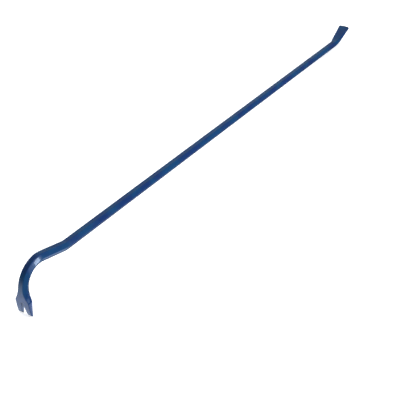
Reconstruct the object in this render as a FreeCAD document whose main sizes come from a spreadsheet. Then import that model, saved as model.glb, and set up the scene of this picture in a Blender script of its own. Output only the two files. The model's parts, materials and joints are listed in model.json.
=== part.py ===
import FreeCAD, Part
import math
import os
import Sketcher

# Gooseneck wrecking bar: one length of hexagon steel, forged to a nail claw at one end and to a
# bent chisel at the other.  Each stretch of the forging is a body of its own, cut from its
# neighbour square across the bar: claw, gooseneck, shank and chisel_end.
#
# The bar stands as it does on a floor: the hook is up, the two points of the claw and the heel
# of the chisel touch Z = 0, +X runs from the claw to the chisel and Y is across the bar.
# Every body is drawn along its own Z axis, which points away from the middle of the bar, with
# its own X towards the outside of the hook or, at the chisel, upwards.  The two worked ends are
# drawn back from their tips, which lie in their own plane Z = 0.

V = FreeCAD.Vector

doc = FreeCAD.newDocument("wrecking_bar")

# Driving dimensions, in millimetres and degrees.
DIMENSIONS = [
    ("stock", 18.0),                # hexagon steel, across flats
    ("arris_radius", 1.2),          # rounding of the rolled bar's long edges
    ("shank_length", 1275.6),       # straight stretch between the two worked ends
    ("neck_radius", 58.0),          # bend that lifts the bar out of its own line
    ("neck_turn", 12.7),
    ("neck_run", 62.0),             # straight stretch between the two bends of the hook
    ("crown_radius", 44.0),         # main bend of the hook
    ("crown_turn", 92.5),
    ("claw_length", 65.0),          # along the centreline, from the crown to the points
    ("claw_turn", 18.4),            # the claw goes on curving inwards
    ("shoulder_share", 0.46),       # where the flare ends, as a share of the claw's length
    ("claw_width", 33.0),           # from the shoulders to the points
    ("shoulder_flat", 31.5),
    ("shoulder_thick", 11.8),
    ("claw_tip_flat", 32.2),
    ("claw_tip_thick", 4.0),
    ("claw_corner", 2.5),           # rounding of the points' outer corners
    ("claw_bevel", 4.0),            # length of the ground edge on the points
    ("notch_depth", 31.0),          # nail slot, from the points to its bottom
    ("notch_root", 1.6),            # radius at the bottom
    ("notch_lean", 10.0),           # angle of each wall from the middle
    ("notch_chamfer", 1.2),         # sharpened edges of the nail slot, on the inner face
    ("heel_radius", 65.0),          # bend that turns the chisel up
    ("blade_bend", 25.0),
    ("blade_length", 64.0),         # straight stretch beyond the bend
    ("blade_back_width", 27.5),     # where the bend ends and the blade begins
    ("blade_back_flat", 20.0),
    ("blade_back_thick", 13.5),
    ("blade_tip_width", 33.5),
    ("blade_tip_flat", 32.3),
    ("blade_tip_thick", 4.4),
    ("blade_bevel", 3.0),           # length of the ground edge
    ("blade_corner", 3.5),          # rounding of the blade's corners
    ("land", 1.6),                  # thickness left at a ground edge
]

sheet = doc.addObject("Spreadsheet::Sheet", "Sheet")
for row, (alias, value) in enumerate(DIMENSIONS, start=1):
    sheet.set(f"A{row}", alias)
    sheet.set(f"B{row}", str(value))
    sheet.setAlias(f"B{row}", alias)
doc.recompute()


def size(alias):
    """A driving dimension's value."""
    return float(sheet.get(alias))


def new_body(name):
    body = doc.addObject("PartDesign::Body", name)
    body.Label = name
    return body


def new_sketch(body, name, role):
    """An empty sketch on one of the body's own origin planes."""
    sketch = body.newObject("Sketcher::SketchObject", name)
    plane = next(item for item in body.Origin.OriginFeatures if item.Role == role)
    sketch.AttachmentSupport = [(plane, "")]
    sketch.MapMode = "FlatFace"
    return sketch


def fix(sketch, name, kind, *where, to):
    """Adds a named dimension to a sketch and binds it to an expression of the sheet."""
    index = sketch.addConstraint(Sketcher.Constraint(kind, *where))
    sketch.renameConstraint(index, name)
    sketch.setExpression(f"Constraints.{name}", to)


# Points of a sketch's edge, and a sketch's own origin and axes, by the numbers Sketcher gives.
START, END, CENTRE = 1, 2, 3
ORIGIN = (-1, 1)
X_AXIS, Y_AXIS = -1, -2


def six_sided_section(body, name, width, flat, thick):
    """A six-sided section across the bar: points at each side, flats on the two faces.

    width is from point to point, flat is the width of each face and thick is the distance
    between the faces.  Each is a (value, expression) pair.
    """
    sketch = new_sketch(body, name, "XY_Plane")
    half_width, half_flat, half_thick = width[0] / 2, flat[0] / 2, thick[0] / 2
    corners = [
        V(0, half_width),
        V(half_thick, half_flat),
        V(half_thick, -half_flat),
        V(0, -half_width),
        V(-half_thick, -half_flat),
        V(-half_thick, half_flat),
    ]
    sides = len(corners)
    for i in range(sides):
        sketch.addGeometry(Part.LineSegment(corners[i], corners[(i + 1) % sides]))
    for i in range(sides):
        sketch.addConstraint(Sketcher.Constraint("Coincident", i, END, (i + 1) % sides, START))
    sketch.addConstraint(Sketcher.Constraint("Symmetric", 0, START, 3, START, *ORIGIN))
    sketch.addConstraint(Sketcher.Constraint("PointOnObject", 0, START, Y_AXIS))
    sketch.addConstraint(Sketcher.Constraint("Symmetric", 1, START, 2, START, X_AXIS))
    sketch.addConstraint(Sketcher.Constraint("Symmetric", 5, START, 4, START, X_AXIS))
    sketch.addConstraint(Sketcher.Constraint("Symmetric", 1, START, 5, START, Y_AXIS))
    fix(sketch, "Width", "DistanceY", 3, START, 0, START, width[0], to=width[1])
    fix(sketch, "Flat", "DistanceY", 2, START, 1, START, flat[0], to=flat[1])
    fix(sketch, "Thick", "DistanceX", 5, START, 1, START, thick[0], to=thick[1])
    return sketch


def stock_section(body, name):
    """The rolled hexagon itself."""
    across_corners = 2 / math.sqrt(3)
    stock = size("stock")
    return six_sided_section(
        body,
        name,
        (stock * across_corners, "Sheet.stock * 2 / sqrt(3)"),
        (stock * across_corners / 2, "Sheet.stock / sqrt(3)"),
        (stock, "Sheet.stock"),
    )


def pair(expression):
    """An expression of the sheet, with its value."""
    return float(sheet.evalExpression(expression.replace("Sheet.", ""))), expression


def place_behind(sketch, side, turn, radius, run="0"):
    """Moves a section back from the tip: straight back, then round an arc.

    side is +1 where the arc lies towards the body's +X and -1 where it lies away from it.
    turn, radius and run are expressions of the sheet.
    """
    sketch.AttachmentOffset = FreeCAD.Placement(V(), FreeCAD.Rotation(V(0, 1, 0), 1))
    sketch.setExpression("AttachmentOffset.Base.x", f"{side} * ({radius}) * (1 - cos({turn}))")
    sketch.setExpression("AttachmentOffset.Base.z", f"-(({run}) + ({radius}) * sin({turn}))")
    sketch.setExpression("AttachmentOffset.Rotation.Angle", f"{-side} * ({turn})")


def loft(body, name, sections, ruled):
    feature = body.newObject("PartDesign::AdditiveLoft", name)
    feature.Profile = sections[0]
    feature.Sections = sections[1:]
    feature.Ruled = ruled
    doc.recompute()
    return feature


def cut_through(body, name, sketch):
    """Cuts a sketch's outline through the body both ways, and makes sure that it cut."""
    before = body.Shape.Volume
    feature = body.newObject("PartDesign::Pocket", name)
    feature.Profile = sketch
    feature.Type = "ThroughAll"
    feature.Midplane = True
    doc.recompute()
    if not body.Shape.Volume < before - 1:
        raise RuntimeError(f"{body.Label}: {name} cut nothing")
    return feature


def picked(body, name, wanted):
    """The body's present solid, with the names of the edges that a test picks out."""
    edges = enumerate(body.Tip.Shape.Edges, start=1)
    names = [f"Edge{number}" for number, edge in edges if wanted(edge)]
    if not names:
        raise RuntimeError(f"{body.Label}: {name} found no edge")
    return body.Tip, names


def fillet(body, name, wanted, radius):
    """Rounds the edges that a test picks out."""
    base = picked(body, name, wanted)
    feature = body.newObject("PartDesign::Fillet", name)
    feature.Base = base
    feature.setExpression("Radius", radius)
    doc.recompute()


def chamfer(body, name, wanted, amount):
    """Breaks the edges that a test picks out."""
    base = picked(body, name, wanted)
    feature = body.newObject("PartDesign::Chamfer", name)
    feature.Base = base
    feature.setExpression("Size", amount)
    doc.recompute()


def ground_edge(body, name, face, thickness, along):
    """Grinds a tip from its +X face down to a thin land.

    face is how far that face lies from the middle where the grinding starts, thickness is the
    tip's own, and along is the length of the ground edge; all are expressions of the sheet.
    """
    sketch = new_sketch(body, f"{name}Outline", "XZ_Plane")
    outer, outer_at = pair(face)
    land, land_at = pair(f"Sheet.land - ({thickness}) / 2")
    length, length_at = pair(along)
    corners = [V(outer, 0), V(land, 0), V(outer, -length)]
    for i in range(3):
        sketch.addGeometry(Part.LineSegment(corners[i], corners[(i + 1) % 3]))
    for i in range(3):
        sketch.addConstraint(Sketcher.Constraint("Coincident", i, END, (i + 1) % 3, START))
    sketch.addConstraint(Sketcher.Constraint("PointOnObject", 0, START, X_AXIS))
    sketch.addConstraint(Sketcher.Constraint("PointOnObject", 0, END, X_AXIS))
    sketch.addConstraint(Sketcher.Constraint("Vertical", 2))
    fix(sketch, "Face", "DistanceX", *ORIGIN, 0, START, outer, to=outer_at)
    fix(sketch, "Land", "DistanceX", 0, END, 0, START, outer - land, to=f"({outer_at}) - ({land_at})")
    fix(sketch, "Length", "DistanceY", 2, START, 2, END, length, to=length_at)
    cut_through(body, name, sketch)


def runs_along(edge):
    """True for an edge that keeps its place across the bar, as the hexagon's arrises do."""
    ends = [vertex.Y for vertex in edge.Vertexes]
    return len(ends) == 2 and abs(ends[0] - ends[1]) < 0.001


def shank():
    """The straight hexagon between the two worked ends."""
    body = new_body("shank")
    pad = body.newObject("PartDesign::Pad", "ShankPad")
    pad.Profile = stock_section(body, "ShankSection")
    pad.setExpression("Length", "Sheet.shank_length")
    doc.recompute()
    fillet(body, "ShankArrises", runs_along, "Sheet.arris_radius")
    return body


def hook_line(body):
    """The hook's centreline: up through the neck, straight on, then over the crown."""
    sketch = new_sketch(body, "HookLine", "XZ_Plane")
    neck_turn = math.radians(size("neck_turn"))
    crown_turn = math.radians(size("crown_turn"))
    neck_radius, crown_radius = size("neck_radius"), size("crown_radius")
    up = V(0, 0, 1)
    heading = V(math.sin(neck_turn), math.cos(neck_turn))
    inwards = V(-math.cos(neck_turn), math.sin(neck_turn))
    neck_end = V(neck_radius * (1 - math.cos(neck_turn)), neck_radius * math.sin(neck_turn))
    crown_start = neck_end + heading * size("neck_run")
    neck = Part.Circle(V(neck_radius, 0), up, neck_radius)
    crown = Part.Circle(crown_start + inwards * crown_radius, up, crown_radius)
    neck_arc = sketch.addGeometry(Part.ArcOfCircle(neck, math.pi - neck_turn, math.pi))
    run = sketch.addGeometry(Part.LineSegment(neck_end, crown_start))
    crown_arc = sketch.addGeometry(Part.ArcOfCircle(crown, -neck_turn, crown_turn - neck_turn))
    sketch.addConstraint(Sketcher.Constraint("Coincident", neck_arc, END, *ORIGIN))
    sketch.addConstraint(Sketcher.Constraint("PointOnObject", neck_arc, CENTRE, X_AXIS))
    sketch.addConstraint(Sketcher.Constraint("Tangent", neck_arc, START, run, START))
    sketch.addConstraint(Sketcher.Constraint("Tangent", run, END, crown_arc, START))
    fix(sketch, "NeckRadius", "Radius", neck_arc, neck_radius, to="Sheet.neck_radius")
    fix(sketch, "CrownRadius", "Radius", crown_arc, crown_radius, to="Sheet.crown_radius")
    fix(sketch, "NeckRun", "Distance", run, size("neck_run"), to="Sheet.neck_run")
    fix(sketch, "NeckTurn", "Angle", neck_arc, neck_turn, to="Sheet.neck_turn * 1 deg")
    fix(sketch, "CrownTurn", "Angle", crown_arc, crown_turn, to="Sheet.crown_turn * 1 deg")
    return sketch


def gooseneck():
    """The hexagon bent over into the hook."""
    body = new_body("gooseneck")
    pipe = body.newObject("PartDesign::AdditivePipe", "HookPipe")
    pipe.Profile = stock_section(body, "HookSection")
    pipe.Spine = (hook_line(body), [])
    doc.recompute()
    fillet(body, "HookArrises", runs_along, "Sheet.arris_radius")
    return body


def claw_section(body, name, back, width, flat, thick):
    """One section of the claw, back from the points by a share of its length."""
    sketch = six_sided_section(body, name, pair(width), pair(flat), pair(thick))
    radius = "Sheet.claw_length * 180 / (pi * Sheet.claw_turn)"
    place_behind(sketch, -1, f"Sheet.claw_turn * ({back})", radius)
    return sketch


def claw_notch(body):
    """The outline of the nail slot: a V with a round bottom, open at the points."""
    sketch = new_sketch(body, "NotchOutline", "YZ_Plane")
    root = size("notch_root")
    lean = math.radians(size("notch_lean"))
    middle = root - size("notch_depth")
    top = root
    touch = V(root * math.cos(lean), middle - root * math.sin(lean))
    mouth = V(touch.x + (top - touch.y) * math.tan(lean), top)
    circle = Part.Circle(V(0, middle), V(0, 0, 1), root)
    right = sketch.addGeometry(Part.LineSegment(touch, mouth))
    across = sketch.addGeometry(Part.LineSegment(mouth, V(-mouth.x, mouth.y)))
    left = sketch.addGeometry(Part.LineSegment(V(-mouth.x, mouth.y), V(-touch.x, touch.y)))
    bottom = sketch.addGeometry(Part.ArcOfCircle(circle, math.pi + lean, 2 * math.pi - lean))
    sketch.addConstraint(Sketcher.Constraint("Tangent", bottom, END, right, START))
    sketch.addConstraint(Sketcher.Constraint("Coincident", right, END, across, START))
    sketch.addConstraint(Sketcher.Constraint("Coincident", across, END, left, START))
    sketch.addConstraint(Sketcher.Constraint("Tangent", left, END, bottom, START))
    sketch.addConstraint(Sketcher.Constraint("PointOnObject", bottom, CENTRE, Y_AXIS))
    sketch.addConstraint(Sketcher.Constraint("Symmetric", across, START, across, END, Y_AXIS))
    middle_to = "Sheet.notch_depth - Sheet.notch_root"
    fix(sketch, "Root", "Radius", bottom, root, to="Sheet.notch_root")
    fix(sketch, "Middle", "DistanceY", bottom, CENTRE, *ORIGIN, -middle, to=middle_to)
    fix(sketch, "Top", "DistanceY", *ORIGIN, across, START, top, to="Sheet.notch_root")
    fix(sketch, "Wall", "Angle", right, math.pi / 2 - lean, to="(90 - Sheet.notch_lean) * 1 deg")
    return sketch


def tip_corner(width, flat):
    """A test for the short edges at the two corners of a worked tip."""
    nearest = min(size(width), size(flat)) / 2

    def wanted(edge):
        middle = edge.CenterOfMass
        return abs(middle.z) < 0.01 and abs(middle.y) > nearest

    return wanted


def inner_notch_edge(edge):
    """True for the edges where the nail slot meets the claw's inner face."""
    middle = edge.CenterOfMass
    in_the_slot = abs(middle.y) < size("claw_width") / 6
    straight = edge.Curve.TypeId == "Part::GeomLine"
    return in_the_slot and not straight and middle.x < 0


def claw():
    """The flared, flattened nail claw with its two points."""
    body = new_body("claw")
    corners, flat = "Sheet.stock * 2 / sqrt(3)", "Sheet.stock / sqrt(3)"
    rolled = claw_section(body, "ClawRoot", "1", corners, flat, "Sheet.stock")
    neck = claw_section(
        body,
        "ClawNeck",
        "1 - Sheet.shoulder_share / 2",
        f"({corners} * 3 + Sheet.claw_width) / 4",
        f"({flat} * 3 + Sheet.shoulder_flat) / 4",
        "(Sheet.stock * 2 + Sheet.shoulder_thick) / 3",
    )
    shoulders = claw_section(
        body,
        "ClawShoulders",
        "1 - Sheet.shoulder_share",
        "Sheet.claw_width",
        "Sheet.shoulder_flat",
        "Sheet.shoulder_thick",
    )
    tips = claw_section(
        body, "ClawTips", "0", "Sheet.claw_width", "Sheet.claw_tip_flat", "Sheet.claw_tip_thick"
    )
    loft(body, "ClawFlare", [rolled, neck, shoulders], False)
    loft(body, "ClawBlade", [shoulders, tips], True)
    fillet(body, "ClawCorners", tip_corner("claw_width", "claw_tip_flat"), "Sheet.claw_corner")
    cut_through(body, "NailSlot", claw_notch(body))
    face = "(Sheet.claw_tip_thick + Sheet.shoulder_thick) / 4"
    ground_edge(body, "ClawEdge", face, "Sheet.claw_tip_thick", "Sheet.claw_bevel")
    chamfer(body, "SlotEdges", inner_notch_edge, "Sheet.notch_chamfer")
    return body


def blade_section(body, name, back, run, width, flat, thick):
    """One section of the chisel.

    back is the share of the bend that lies between it and the blade, run the share of the
    blade's length that lies between it and the tip.
    """
    sketch = six_sided_section(body, name, pair(width), pair(flat), pair(thick))
    turn = f"Sheet.blade_bend * {back}"
    place_behind(sketch, 1, turn, "Sheet.heel_radius", f"Sheet.blade_length * {run}")
    return sketch


def chisel_end():
    """The heel and the flat, widened blade beyond it."""
    body = new_body("chisel_end")
    corners, flat = "Sheet.stock * 2 / sqrt(3)", "Sheet.stock / sqrt(3)"
    rolled = blade_section(body, "BladeRoot", 1, 1, corners, flat, "Sheet.stock")
    heel = blade_section(
        body,
        "BladeHeel",
        0.5,
        1,
        f"({corners} * 2 + Sheet.blade_back_width) / 3",
        f"({flat} * 2 + Sheet.blade_back_flat) / 3",
        "(Sheet.stock * 2 + Sheet.blade_back_thick) / 3",
    )
    back = blade_section(
        body,
        "BladeBack",
        0,
        1,
        "Sheet.blade_back_width",
        "Sheet.blade_back_flat",
        "Sheet.blade_back_thick",
    )
    tip = blade_section(
        body, "BladeTip", 0, 0, "Sheet.blade_tip_width", "Sheet.blade_tip_flat", "Sheet.blade_tip_thick"
    )
    loft(body, "Heel", [rolled, heel, back], False)
    loft(body, "Blade", [back, tip], True)
    corner = tip_corner("blade_tip_width", "blade_tip_flat")
    fillet(body, "BladeCorners", corner, "Sheet.blade_corner")
    face = "(Sheet.blade_tip_thick + Sheet.blade_back_thick) / 4"
    ground_edge(body, "BladeEdge", face, "Sheet.blade_tip_thick", "Sheet.blade_bevel")
    return body


def bend(frame, side, turn, radius, run=0.0):
    """The frame reached by going round an arc, towards +X (side +1) or away from it, and on."""
    turn = math.radians(turn)
    reach = V(
        side * (radius * (1 - math.cos(turn)) + run * math.sin(turn)),
        0,
        radius * math.sin(turn) + run * math.cos(turn),
    )
    turned = FreeCAD.Rotation(V(0, 1, 0), side * math.degrees(turn))
    return frame.multiply(FreeCAD.Placement(reach, turned))


def assemble(bodies):
    """Sets the bodies end to end, with the shank along X and its middle at the origin."""
    up, across = V(0, 0, 1), V(0, 1, 0)
    to_claw = FreeCAD.Rotation(up, across, V(-1, 0, 0), "ZXY")
    to_chisel = FreeCAD.Rotation(up, -across, V(1, 0, 0), "ZXY")
    half = size("shank_length") / 2
    claw_side = FreeCAD.Placement(V(-half, 0, 0), to_claw)
    chisel_side = FreeCAD.Placement(V(half, 0, 0), to_chisel)
    neck_end = bend(claw_side, 1, size("neck_turn"), size("neck_radius"), size("neck_run"))
    crown_end = bend(neck_end, -1, size("crown_turn"), size("crown_radius"))
    claw_radius = size("claw_length") / math.radians(size("claw_turn"))
    points = bend(crown_end, -1, size("claw_turn"), claw_radius)
    blade = bend(chisel_side, 1, size("blade_bend"), size("heel_radius"), size("blade_length"))
    bodies["shank"].Placement = FreeCAD.Placement(V(-half, 0, 0), to_chisel)
    bodies["gooseneck"].Placement = claw_side
    bodies["claw"].Placement = points
    bodies["chisel_end"].Placement = blade


def move(bodies, placement):
    for body in bodies.values():
        body.Placement = placement.multiply(body.Placement)


def stand_up(bodies):
    """Tilts and lifts the bar until the claw's points and the heel both touch Z = 0."""
    for _ in range(4):
        claw_low = bodies["claw"].Shape.optimalBoundingBox(False)
        heel_low = bodies["chisel_end"].Shape.optimalBoundingBox(False)
        length = heel_low.XMin - claw_low.Center.x
        tilt = math.degrees(math.atan2(heel_low.ZMin - claw_low.ZMin, length))
        move(bodies, FreeCAD.Placement(V(), FreeCAD.Rotation(V(0, 1, 0), tilt)))
    boxes = [body.Shape.optimalBoundingBox(False) for body in bodies.values()]
    low_x, high_x = min(box.XMin for box in boxes), max(box.XMax for box in boxes)
    low_z = min(box.ZMin for box in boxes)
    move(bodies, FreeCAD.Placement(V(-(low_x + high_x) / 2, 0, -low_z), FreeCAD.Rotation()))


def check(bodies):
    """Stops if any feature failed or any body isn't one valid solid."""
    for item in doc.Objects:
        if "Invalid" in item.State or "Error" in item.State:
            raise RuntimeError(f"{item.Name} failed: {item.State}")
    for name, body in bodies.items():
        if body.Shape.isNull() or not body.Shape.isValid() or len(body.Shape.Solids) != 1:
            raise RuntimeError(f"{name} isn't one valid solid")


bodies = {
    "claw": claw(),
    "gooseneck": gooseneck(),
    "shank": shank(),
    "chisel_end": chisel_end(),
}
assemble(bodies)
stand_up(bodies)
doc.recompute()
check(bodies)

os.makedirs("parts", exist_ok=True)
for name, body in bodies.items():
    body.Shape.exportStep(f"parts/{name}.step")
    box = body.Shape.optimalBoundingBox(False)
    low = [round(value, 2) for value in (box.XMin, box.YMin, box.ZMin)]
    high = [round(value, 2) for value in (box.XMax, box.YMax, box.ZMax)]
    print(name, low, high, round(body.Shape.Volume))
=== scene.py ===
import json
import math

import bpy
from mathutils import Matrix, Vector, noise

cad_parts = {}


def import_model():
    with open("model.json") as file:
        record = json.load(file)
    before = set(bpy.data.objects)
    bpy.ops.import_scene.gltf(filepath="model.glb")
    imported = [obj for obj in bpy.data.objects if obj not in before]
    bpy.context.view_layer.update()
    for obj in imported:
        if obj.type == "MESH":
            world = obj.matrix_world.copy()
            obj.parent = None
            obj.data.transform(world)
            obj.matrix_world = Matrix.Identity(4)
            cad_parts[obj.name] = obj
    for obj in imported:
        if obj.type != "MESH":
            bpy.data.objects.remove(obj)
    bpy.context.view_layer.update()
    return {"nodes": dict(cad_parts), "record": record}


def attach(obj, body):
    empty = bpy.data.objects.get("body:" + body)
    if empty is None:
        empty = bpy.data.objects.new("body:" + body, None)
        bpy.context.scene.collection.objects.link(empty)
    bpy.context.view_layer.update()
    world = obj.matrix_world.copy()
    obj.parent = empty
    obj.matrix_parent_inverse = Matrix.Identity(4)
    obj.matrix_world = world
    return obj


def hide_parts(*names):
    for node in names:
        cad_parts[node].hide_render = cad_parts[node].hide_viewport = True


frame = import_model()

# A gooseneck wrecking bar: hexagon steel, forged to a nail claw at one end and to a bent chisel
# at the other, and enamelled blue.  The frame gives the shank: its stock from the distance
# between its two flats, its line and its length.  Everything else is laid out from the shank,
# as one closed skin that runs from the claw's points to the chisel's edge, in metres.

MM = 0.001
MOUNTS = {mount["name"]: mount for mount in frame["record"]["mounts"]}
UPPER = Vector(MOUNTS["shank_upper_flat"]["pos_m"])
LOWER = Vector(MOUNTS["shank_lower_flat"]["pos_m"])
UP = (UPPER - LOWER).normalized()
ALONG = Vector((UP.z, 0, -UP.x))
STOCK = (UPPER - LOWER).length
HALF_POINTS = STOCK / math.sqrt(3)
ARRIS = 1.2 * MM

# The hook and the claw.
NECK_RADIUS = 58 * MM
NECK_TURN = math.radians(12.7)
NECK_RUN = 62 * MM
CROWN_RADIUS = 44 * MM
CROWN_TURN = math.radians(92.5)
CLAW_LENGTH = 65 * MM
CLAW_TURN = math.radians(18.4)
SHOULDER = CLAW_LENGTH * (1 - 0.46)
CLAW_WIDTH = 33 * MM
SHOULDER_FLAT = 31.5 * MM
SHOULDER_THICK = 11.8 * MM
CLAW_TIP_FLAT = 32.2 * MM
CLAW_TIP_THICK = 4 * MM
CLAW_CORNER = 2.5 * MM
CLAW_EDGE = 4 * MM
NOTCH_DEPTH = 31 * MM
NOTCH_ROOT = 1.6 * MM
NOTCH_LEAN = math.radians(10)
NOTCH_SOFT = 0.9 * MM
NOTCH_MIDDLE = NOTCH_DEPTH - NOTCH_ROOT
NOTCH_TOUCH = NOTCH_MIDDLE + NOTCH_ROOT * math.sin(NOTCH_LEAN)
SHOULDER_SOFT = 1.2 * MM

# The chisel.
HEEL_RADIUS = 65 * MM
BLADE_BEND = math.radians(25)
HEEL_LENGTH = HEEL_RADIUS * BLADE_BEND
BLADE_LENGTH = 65.5 * MM
BLADE_BACK_WIDTH = 27.5 * MM
BLADE_BACK_FLAT = 20 * MM
BLADE_BACK_THICK = 13.5 * MM
BLADE_WIDTH = 33.5 * MM
BLADE_FLAT = 32.3 * MM
BLADE_THICK = 4.4 * MM
BLADE_CORNER = 7 * MM
BLADE_EDGE = 3 * MM
BLADE_CROWN = 2 * MM
BLADE_CURVED = 20 * MM

# Both worked ends: what is left of the thickness at a ground edge, and of the side at a corner.
LAND = 1.6 * MM
LEAST_SIDE = 0.4 * MM


def extent(node, direction):
    """How far a CAD node reaches along a direction, as its lowest and highest value."""
    reach = [vertex.co.dot(direction) for vertex in frame["nodes"][node].data.vertices]
    return min(reach), max(reach)


SHANK_START, SHANK_END = extent("shank", ALONG)
SHANK_LENGTH = SHANK_END - SHANK_START

# The centreline from the claw's points to the chisel's edge: how long and how far it turns.
RUNS = [
    (CLAW_LENGTH, -CLAW_TURN),
    (CROWN_RADIUS * CROWN_TURN, -CROWN_TURN),
    (NECK_RUN, 0.0),
    (NECK_RADIUS * NECK_TURN, NECK_TURN),
    (SHANK_LENGTH, 0.0),
    (HEEL_LENGTH, BLADE_BEND),
    (BLADE_LENGTH, 0.0),
]
TOTAL = sum(length for length, _ in RUNS)
HOOK_LENGTH = sum(length for length, _ in RUNS[:4])


def travel(distance):
    """The centreline's place and heading, so far from the claw's points, in its own plane."""
    x, z, heading = 0.0, 0.0, 0.0
    for length, turn in RUNS:
        step = min(length, max(distance, 0.0))
        part = turn * step / length
        chord = step if part == 0 else 2 * math.sin(part / 2) * length / turn
        x += chord * math.cos(heading + part / 2)
        z += chord * math.sin(heading + part / 2)
        heading += part
        distance -= length
    return x, z, heading


_, _, SHANK_HEADING = travel(HOOK_LENGTH)
TURN_TO_FRAME = math.atan2(ALONG.z, ALONG.x) - SHANK_HEADING
SHANK_FOOT = (UPPER + LOWER) / 2
SHANK_FOOT = SHANK_FOOT + ALONG * (SHANK_START - SHANK_FOOT.dot(ALONG))


def turned(x, z):
    """A point of the centreline's own plane, turned to the way the bar lies in the frame."""
    cos, sin = math.cos(TURN_TO_FRAME), math.sin(TURN_TO_FRAME)
    return x * cos - z * sin, x * sin + z * cos


HOOK_END = turned(*travel(HOOK_LENGTH)[:2])


def place(distance, across, out):
    """A point of the bar in the frame: along it, across it, and out towards its upper face."""
    x, z, heading = travel(distance)
    x, z = turned(x, z)
    heading += TURN_TO_FRAME
    x += SHANK_FOOT.x - HOOK_END[0] - math.sin(heading) * out
    z += SHANK_FOOT.z - HOOK_END[1] + math.cos(heading) * out
    return Vector((x, across, z))


def mix(start, end, share):
    return start + (end - start) * share


def soft_min(first, second, softness):
    """The smaller of two lengths, with the corner between them rounded."""
    gap = max(softness - abs(first - second), 0.0) / softness
    return min(first, second) - gap * gap * softness / 4


def notch_half_width(distance):
    """Half the nail slot's width, so far from the points."""
    if distance < NOTCH_TOUCH:
        straight = (NOTCH_TOUCH - distance) * math.tan(NOTCH_LEAN)
        return NOTCH_ROOT * math.cos(NOTCH_LEAN) + straight
    return math.sqrt(max(NOTCH_ROOT**2 - (distance - NOTCH_MIDDLE) ** 2, 0.0))


def corner_cut(points, flat, from_tip, radius):
    """Half widths of the points and of the flats, drawn in where a tip's corner is rounded."""
    if from_tip >= radius:
        return points, flat
    points -= radius - math.sqrt(radius**2 - (radius - from_tip) ** 2)
    return points, min(flat, points - LEAST_SIDE)


def claw_section(distance):
    """Half widths of the points and of the flats, half the thickness, and the grinding's depth."""
    worked = (CLAW_LENGTH - distance) / (CLAW_LENGTH - SHOULDER)
    points = mix(HALF_POINTS, CLAW_WIDTH / 2, worked**2)
    points = soft_min(points, CLAW_WIDTH / 2, SHOULDER_SOFT)
    tip_share = max(1 - distance / SHOULDER, 0.0)
    flat = mix(HALF_POINTS / 2, SHOULDER_FLAT / 2, worked**2)
    flat = soft_min(flat, mix(SHOULDER_FLAT, CLAW_TIP_FLAT, tip_share) / 2, SHOULDER_SOFT)
    if worked < 1:
        thick = mix(STOCK / 2, SHOULDER_THICK / 2, worked**1.6)
    else:
        thick = mix(SHOULDER_THICK, CLAW_TIP_THICK, tip_share) / 2
    points, flat = corner_cut(points, flat, distance, CLAW_CORNER)
    return points, flat, thick, (CLAW_TIP_THICK - LAND) * max(1 - distance / CLAW_EDGE, 0.0)


def chisel_section(from_edge):
    """The same four lengths, so far from the chisel's edge."""
    if from_edge > BLADE_LENGTH:
        worked = ((BLADE_LENGTH + HEEL_LENGTH - from_edge) / HEEL_LENGTH) ** 1.5
        points = mix(HALF_POINTS, BLADE_BACK_WIDTH / 2, worked)
        flat = mix(HALF_POINTS / 2, BLADE_BACK_FLAT / 2, worked)
        thick = mix(STOCK / 2, BLADE_BACK_THICK / 2, worked)
    else:
        worked = 1 - from_edge / BLADE_LENGTH
        points = mix(BLADE_BACK_WIDTH, BLADE_WIDTH, worked) / 2
        flat = mix(BLADE_BACK_FLAT, BLADE_FLAT, worked) / 2
        thick = mix(BLADE_BACK_THICK, BLADE_THICK, worked) / 2
    points, flat = corner_cut(points, flat, from_edge, BLADE_CORNER)
    return points, flat, thick, (BLADE_THICK - LAND) * max(1 - from_edge / BLADE_EDGE, 0.0)


def section(distance):
    """Half widths of the points and of the flats, and the heights of the upper and lower face."""
    if distance < CLAW_LENGTH:
        points, flat, thick, ground = claw_section(distance)
    elif TOTAL - distance < BLADE_LENGTH + HEEL_LENGTH:
        points, flat, thick, ground = chisel_section(TOTAL - distance)
    else:
        points, flat, thick, ground = HALF_POINTS, HALF_POINTS / 2, STOCK / 2, 0.0
    return points, flat, thick - ground, -thick


def edge_curve(distance, across):
    """How far a point of the blade moves along the bar, because its edge is a little curved."""
    near = max(1 - (TOTAL - distance) / BLADE_CURVED, 0.0)
    return -BLADE_CROWN * near * (2 * across / BLADE_WIDTH) ** 2


# How finely an outline is divided: round a corner, along a flat, along a slanting side, and
# round the soft edge and down the wall of the nail slot.
CORNER_STEPS = 4
FLAT_STEPS = 4
FACET_STEPS = 2
SOFT_STEPS = 3
WALL_STEPS = 3
LAST_PLAIN = 2 * FLAT_STEPS + 3 * CORNER_STEPS + 2 * FACET_STEPS - 1


def rounded(before, corner, after, radius):
    """Points round a corner of an outline, from the side before it to the side after it."""
    before, corner, after = Vector(before), Vector(corner), Vector(after)
    to_before, to_after = (before - corner), (after - corner)
    angle = to_before.angle(to_after)
    tangent = radius / math.tan(angle / 2)
    tangent = min(tangent, to_before.length * 0.45, to_after.length * 0.45)
    start = corner + to_before.normalized() * tangent
    end = corner + to_after.normalized() * tangent
    points = []
    for i in range(CORNER_STEPS):
        share = i / (CORNER_STEPS - 1)
        first, second = start.lerp(corner, share), corner.lerp(end, share)
        points.append(first.lerp(second, share))
    return points


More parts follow.
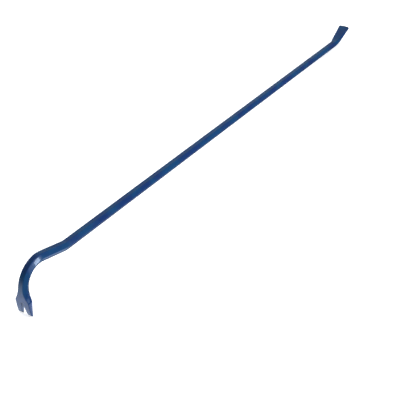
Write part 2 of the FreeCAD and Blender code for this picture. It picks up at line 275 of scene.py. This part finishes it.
def half_outline(distance, inner_upper, inner_lower):
    """The outline of one half of the bar, from its inner upper edge round to its lower one.

    Each point is (across, out, back): back is how far it lies behind its station, which only
    the points beside the nail slot's bottom do.
    """
    points, flat, upper, lower = section(distance)
    middle = (upper + lower) / 2
    upper_corner, side = (flat, upper), (points, middle)
    lower_corner = (flat, lower)
    upper_arc = rounded((0, upper), upper_corner, side, ARRIS)
    side_arc = rounded(upper_corner, side, lower_corner, ARRIS)
    lower_arc = rounded(side, lower_corner, (0, lower), ARRIS)
    outline = []
    for i in range(FLAT_STEPS):
        share = i / FLAT_STEPS
        end = (upper_arc[0].x, upper_arc[0].y, 0.0)
        outline.append([mix(a, b, share) for a, b in zip(inner_upper, end)])
    outline += [(p.x, p.y, 0.0) for p in upper_arc]
    for i in range(1, FACET_STEPS + 1):
        p = upper_arc[-1].lerp(side_arc[0], i / (FACET_STEPS + 1))
        outline.append((p.x, p.y, 0.0))
    outline += [(p.x, p.y, 0.0) for p in side_arc]
    for i in range(1, FACET_STEPS + 1):
        p = side_arc[-1].lerp(lower_arc[0], i / (FACET_STEPS + 1))
        outline.append((p.x, p.y, 0.0))
    outline += [(p.x, p.y, 0.0) for p in lower_arc]
    for i in range(1, FLAT_STEPS + 1):
        share = i / FLAT_STEPS
        start = (lower_arc[-1].x, lower_arc[-1].y, 0.0)
        outline.append([mix(a, b, share) for a, b in zip(start, inner_lower)])
    return outline


def slot_edge(distance, upper, lower):
    """The nail slot's soft upper and lower edge and its wall, each as points of one side."""
    half = notch_half_width(distance)
    if distance < NOTCH_TOUCH:
        into = (math.cos(NOTCH_LEAN), math.sin(NOTCH_LEAN))
    else:
        into = (half / NOTCH_ROOT, (distance - NOTCH_MIDDLE) / NOTCH_ROOT)
    soft = min(NOTCH_SOFT, (upper - lower) * 0.4)
    upper_edge, lower_edge = [], []
    for i in range(SOFT_STEPS + 1):
        angle = math.pi / 2 * i / SOFT_STEPS
        reach = soft * (1 - math.cos(angle))
        depth = soft - soft * math.sin(angle)
        across, back = half + into[0] * reach, into[1] * reach
        upper_edge.append((across, upper - depth, back))
        lower_edge.append((across, lower + depth, back))
    wall = []
    for i in range(1, WALL_STEPS + 1):
        out = mix(lower_edge[0][1], upper_edge[0][1], i / (WALL_STEPS + 1))
        wall.append((half, out, 0.0))
    return upper_edge, lower_edge, wall


def half_ring(distance, slotted):
    """One side of the skin at a station, by column: beyond 0 to LAST_PLAIN lies the nail slot."""
    _, _, upper, lower = section(distance)
    if not slotted:
        return dict(enumerate(half_outline(distance, (0.0, upper, 0.0), (0.0, lower, 0.0))))
    upper_edge, lower_edge, wall = slot_edge(distance, upper, lower)
    ring = dict(enumerate(half_outline(distance, upper_edge.pop(), lower_edge.pop())))
    for i, point in enumerate(reversed(upper_edge), start=1):
        ring[-i] = point
    for i, point in enumerate(reversed(lower_edge), start=1):
        ring[LAST_PLAIN + i] = point
    for i, point in enumerate(wall, start=1):
        ring[LAST_PLAIN + SOFT_STEPS + i] = point
    return ring


# The distance between stations, where the bar is worked and along the shank.
CLOSE = 1.2 * MM
WIDE = 8 * MM


def stations():
    """Where the skin is divided, as distances from the claw's points."""

    def evenly(start, end, step):
        count = round((end - start) / step)
        return [mix(start, end, i / count) for i in range(count)]

    found = [0.0, 0.25 * MM]
    found += [CLAW_CORNER * (1 - math.cos(math.radians(angle))) for angle in range(30, 91, 12)]
    found += evenly(CLAW_CORNER, NOTCH_MIDDLE, CLOSE)[1:] + [NOTCH_MIDDLE]
    for angle in (25, 45, 60, 75, 90):
        found.append(NOTCH_MIDDLE + NOTCH_ROOT * math.sin(math.radians(angle)))
    past_notch = NOTCH_DEPTH + NOTCH_SOFT + 0.8 * MM
    shank_end = HOOK_LENGTH + SHANK_LENGTH
    found += evenly(past_notch, HOOK_LENGTH, CLOSE)
    found += evenly(HOOK_LENGTH, shank_end, WIDE)
    found += evenly(shank_end, TOTAL - BLADE_CORNER, CLOSE)
    for angle in range(86, 0, -14):
        found.append(TOTAL - BLADE_CORNER * (1 - math.cos(math.radians(angle))))
    return found + [TOTAL - 0.05 * MM, TOTAL]


# The skin's unevenness: waves to the metre, and the height of each kind in millimetres.
FORGING_SEED = 1
FORGING_WAVES = [(28, 0.07), (90, 0.03)]


def forged(point):
    """Moves a point of the skin a little, as hammer and rollers leave it."""
    waves = [noise.noise_vector(point * often) * height for often, height in FORGING_WAVES]
    return point + sum(waves, Vector()) * MM


def bar_skin():
    """The whole bar as one closed mesh of long rows of quads."""
    noise.seed_set(FORGING_SEED)
    rows = stations()
    root_row = max(i for i, distance in enumerate(rows) if distance <= NOTCH_DEPTH + 1e-9)
    vertices, faces, known, grid = [], [], {}, {}

    def vertex(row, column, side, point):
        """The number of a skin point; the two sides share the points on the bar's middle."""
        across, out, back = point
        back += edge_curve(rows[row], across)
        on_middle = abs(across) < 1e-9
        key = (row, column, 0 if on_middle else side)
        if key not in known:
            known[key] = len(vertices)
            across = 0.0 if on_middle else across * side
            vertices.append(forged(place(rows[row] + back, across, out)))
        return known[key]

    def face(corners, side):
        corners = list(dict.fromkeys(corners))
        if len(corners) > 2:
            faces.append(corners if side > 0 else corners[::-1])

    for row, distance in enumerate(rows):
        ring = half_ring(distance, row <= root_row)
        for side in (1, -1):
            columns = {column: vertex(row, column, side, point) for column, point in ring.items()}
            grid[row, side] = columns
    for row in range(len(rows) - 1):
        for side in (1, -1):
            near, far = grid[row, side], grid[row + 1, side]
            columns = sorted(set(near) & set(far))
            following = columns[1:]
            if row + 1 <= root_row:
                following = following + columns[:1]
            for first, second in zip(columns, following):
                face([near[first], near[second], far[second], far[first]], side)
    for side in (1, -1):
        tip = grid[0, side]
        face([tip[column] for column in sorted(tip, reverse=True)], side)
    right, left = grid[len(rows) - 1, 1], grid[len(rows) - 1, -1]
    edge = [right[column] for column in range(LAST_PLAIN + 1)]
    edge += [left[column] for column in range(LAST_PLAIN, -1, -1)]
    face(edge, 1)
    mesh = bpy.data.meshes.new("bar")
    mesh.from_pydata(vertices, [], faces)
    mesh.validate()
    mesh.update()
    return mesh


def node(tree, kind, **inputs):
    """A shader node with some of its input values set, by name."""
    made = tree.nodes.new(kind)
    for name, value in inputs.items():
        made.inputs[name.replace("_", " ")].default_value = value
    return made


def grain(tree, coordinates, scale, detail):
    """Noise in the object's own space, scale in cells to the metre."""
    made = node(tree, "ShaderNodeTexNoise", Scale=scale, Detail=detail)
    tree.links.new(coordinates, made.inputs["Vector"])
    return made.outputs["Fac"]


def ranged(tree, value, low, high, to_low=0.0, to_high=1.0):
    """Spreads the stretch of a value from low to high over another one."""
    made = tree.nodes.new("ShaderNodeMapRange")
    made.interpolation_type = "SMOOTHSTEP"
    limits = {"From Min": low, "From Max": high, "To Min": to_low, "To Max": to_high}
    for name, number in limits.items():
        made.inputs[name].default_value = number
    tree.links.new(value, made.inputs["Value"])
    return made.outputs["Result"]


def maths(tree, operation, first, second):
    """Two values put together; the second may be a plain number."""
    made = tree.nodes.new("ShaderNodeMath")
    made.operation = operation
    tree.links.new(first, made.inputs[0])
    if isinstance(second, float):
        made.inputs[1].default_value = second
    else:
        tree.links.new(second, made.inputs[1])
    return made.outputs[0]


def blend(tree, share, first, second):
    """A colour between two others; each is four numbers or a socket."""
    made = tree.nodes.new("ShaderNodeMix")
    made.data_type = "RGBA"
    colours = [socket for socket in made.inputs if socket.type == "RGBA"]
    tree.links.new(share, made.inputs[0])
    for socket, colour in zip(colours, (first, second)):
        if isinstance(colour, tuple):
            socket.default_value = colour
        else:
            tree.links.new(colour, socket)
    return next(socket for socket in made.outputs if socket.type == "RGBA")


def near_to(tree, coordinates, point, reach):
    """1 at a point of the object, falling to 0 at some distance from it."""
    made = tree.nodes.new("ShaderNodeVectorMath")
    made.operation = "DISTANCE"
    made.inputs[1].default_value = point
    tree.links.new(coordinates, made.inputs[0])
    return ranged(tree, made.outputs["Value"], reach * 0.75, reach, 1.0, 0.0)


# The enamel, where it is thick and less thick, lighter on an arris (a painted highlight, where the
# enamel also runs thin), and the steel below it.
DEEP_BLUE = (0.0055, 0.028, 0.122, 1)
CLEAR_BLUE = (0.0045, 0.049, 0.138, 1)
ARRIS_HIGHLIGHT_BLUE = (0.016, 0.060, 0.160, 1)
BARE_STEEL = (0.020, 0.024, 0.030, 1)


def enamel():
    """Dipped blue enamel over forged steel, with a painted highlight along the arrises where it
    also runs thin, and gone from the ground tips.
    """
    material = bpy.data.materials.new("blue_enamel")
    material.use_nodes = True
    tree = material.node_tree
    shader = tree.nodes["Principled BSDF"]
    coordinates = tree.nodes.new("ShaderNodeTexCoord").outputs["Object"]
    cloud = ranged(tree, grain(tree, coordinates, 22.0, 2.0), 0.36, 0.64)
    patches = grain(tree, coordinates, 260.0, 3.0)
    pointed = tree.nodes.new("ShaderNodeNewGeometry").outputs["Pointiness"]
    on_arris = ranged(tree, pointed, 0.53, 0.60)
    # Painted highlight: the arrises are made a lighter blue, which also stands for enamel running
    # thin there.
    arris_highlight = maths(tree, "MULTIPLY", on_arris, ranged(tree, patches, 0.40, 0.62))
    tips = []
    for side in (1, -1):
        point = place(0.0, side * CLAW_WIDTH * 0.31, 0.0)
        tips.append(near_to(tree, coordinates, point, 8 * MM))
        point = place(TOTAL, side * BLADE_WIDTH * 0.25, 0.0)
        tips.append(near_to(tree, coordinates, point, 9 * MM))
    bare = tips[0]
    for tip in tips[1:]:
        bare = maths(tree, "MAXIMUM", bare, tip)
    rubbed = maths(tree, "MULTIPLY", bare, ranged(tree, patches, 0.35, 0.55))
    colour = blend(tree, cloud, DEEP_BLUE, CLEAR_BLUE)
    colour = blend(tree, arris_highlight, colour, ARRIS_HIGHLIGHT_BLUE)
    colour = blend(tree, rubbed, colour, BARE_STEEL)
    tree.links.new(colour, shader.inputs["Base Color"])
    tree.links.new(maths(tree, "MULTIPLY", rubbed, 0.7), shader.inputs["Metallic"])
    gloss = ranged(tree, grain(tree, coordinates, 60.0, 4.0), 0.3, 0.7, 0.15, 0.22)
    gloss = maths(tree, "ADD", gloss, maths(tree, "MULTIPLY", rubbed, 0.15))
    tree.links.new(gloss, shader.inputs["Roughness"])
    shader.inputs["Specular IOR Level"].default_value = 0.5
    shader.inputs["Coat Weight"].default_value = 0.3
    shader.inputs["Coat Roughness"].default_value = 0.05
    dents = node(tree, "ShaderNodeBump", Strength=0.25, Distance=0.0004)
    tree.links.new(grain(tree, coordinates, 55.0, 2.0), dents.inputs["Height"])
    peel = node(tree, "ShaderNodeBump", Strength=0.35, Distance=0.00012)
    tree.links.new(grain(tree, coordinates, 480.0, 2.0), peel.inputs["Height"])
    tree.links.new(dents.outputs["Normal"], peel.inputs["Normal"])
    tree.links.new(peel.outputs["Normal"], shader.inputs["Normal"])
    tree.links.new(dents.outputs["Normal"], shader.inputs["Coat Normal"])
    return material


bar = bpy.data.objects.new("forged_bar", bar_skin())
bpy.context.scene.collection.objects.link(bar)
bar.data.materials.append(enamel())
bar.data.polygons.foreach_set("use_smooth", [True] * len(bar.data.polygons))
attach(bar, "root")
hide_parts("claw", "gooseneck", "shank", "chisel_end")


# The camera, with its bearing from +X and its dip below the horizon in degrees.
CAMERA_PLACE = (-1.5652, -0.8836, 1.0405)
CAMERA_BEARING = 30.611
CAMERA_DIP = 34.818
CAMERA_LENS = 71.1

# The light: the floor's own glow, the tent's colour, what the camera sees behind the floor, and
# the tent's bright sheets as direction, where a sheet starts and is full, and its two strengths.
FLOOR_GLOW = 0.7
PALE_SKY = (0.52, 0.76, 1.0)
TENT = (0.66, 0.79, 1, 1)
BACKDROP = (0.86, 0.86, 0.86, 1)
BRIGHT_SHEETS = [
    ((-0.6, 0.3, -0.75), 0.4, 1.0, 0.15, 1.8),
    ((0.42, -0.40, -0.82), 0.85, 0.95, 0.0, 1.5),
]


def floor():
    """A plain, nearly white floor under the bar."""
    size = 300.0
    mesh = bpy.data.meshes.new("floor")
    corners = [(-size, -size, 0), (size, -size, 0), (size, size, 0), (-size, size, 0)]
    mesh.from_pydata(corners, [], [(0, 1, 2, 3)])
    made = bpy.data.objects.new("floor", mesh)
    bpy.context.scene.collection.objects.link(made)
    material = bpy.data.materials.new("floor")
    material.use_nodes = True
    shader = material.node_tree.nodes["Principled BSDF"]
    shader.inputs["Base Color"].default_value = (0.92, 0.92, 0.92, 1)
    shader.inputs["Roughness"].default_value = 1.0
    shader.inputs["Specular IOR Level"].default_value = 0.0
    shader.inputs["Emission Color"].default_value = (1, 1, 1, 1)
    shader.inputs["Emission Strength"].default_value = FLOOR_GLOW
    mesh.materials.append(material)
    made.visible_glossy = False


def softbox(name, place_at, aim, size, power, tint=(1, 1, 1), mirrored=True):
    """A square area light that points at a place; gloss shows it only where it is mirrored."""
    light = bpy.data.lights.new(name, "AREA")
    light.shape = "SQUARE"
    light.size = size
    light.energy = power
    light.color = tint
    made = bpy.data.objects.new(name, light)
    bpy.context.scene.collection.objects.link(made)
    made.location = place_at
    made.rotation_euler = (Vector(aim) - Vector(place_at)).to_track_quat("-Z", "Y").to_euler()
    made.visible_camera = False
    made.visible_glossy = mirrored


def world():
    """A soft tent of light, evenly dim but for two bright sheets low down beside the claw."""
    made = bpy.data.worlds.new("studio")
    made.use_nodes = True
    tree = made.node_tree
    facing = tree.nodes.new("ShaderNodeTexCoord").outputs["Generated"]
    sheets = []
    for direction, start, end, low, high in BRIGHT_SHEETS:
        towards = tree.nodes.new("ShaderNodeVectorMath")
        towards.operation = "DOT_PRODUCT"
        towards.inputs[1].default_value = Vector(direction).normalized()
        tree.links.new(facing, towards.inputs[0])
        sheets.append(ranged(tree, towards.outputs["Value"], start, end, low, high))
    seen = tree.nodes.new("ShaderNodeLightPath").outputs["Is Camera Ray"]
    strength = maths(tree, "MAXIMUM", maths(tree, "ADD", *sheets), seen)
    tree.links.new(blend(tree, seen, TENT, BACKDROP), tree.nodes["Background"].inputs["Color"])
    tree.links.new(strength, tree.nodes["Background"].inputs["Strength"])
    bpy.context.scene.world = made


def camera():
    """The camera, at the height and the bearing that the bar is shown from."""
    data = bpy.data.cameras.new("camera")
    data.sensor_width = 36
    data.lens = CAMERA_LENS
    made = bpy.data.objects.new("camera", data)
    bpy.context.scene.collection.objects.link(made)
    made.location = CAMERA_PLACE
    made.rotation_euler = (math.radians(90 - CAMERA_DIP), 0, math.radians(CAMERA_BEARING - 90))
    bpy.context.scene.camera = made


bpy.context.scene.view_settings.view_transform = "Standard"
floor()
softbox("overhead", (0.3, 0.2, 2.8), (0, 0, 0), 3.5, 32, mirrored=False)
softbox("front", (0.1, -3.0, 1.2), (-0.2, 0, 0), 1.5, 58, mirrored=False)
softbox("key", (-0.3, 2.2, 1.45), (-0.2, 0, 0), 0.6, 26)
softbox("back", (2.4, 1.5, 2.0), (0, 0, 0), 2.5, 7, tint=PALE_SKY)
softbox("side", (0.25, -2.0, 0.35), (-0.7, 0, 0.08), 0.6, 16, tint=(0.68, 0.82, 1.0))
softbox("side_fill", (-0.4, -2.1, 0.3), (-0.7, 0, 0.08), 0.8, 3, tint=PALE_SKY)
world()
camera()
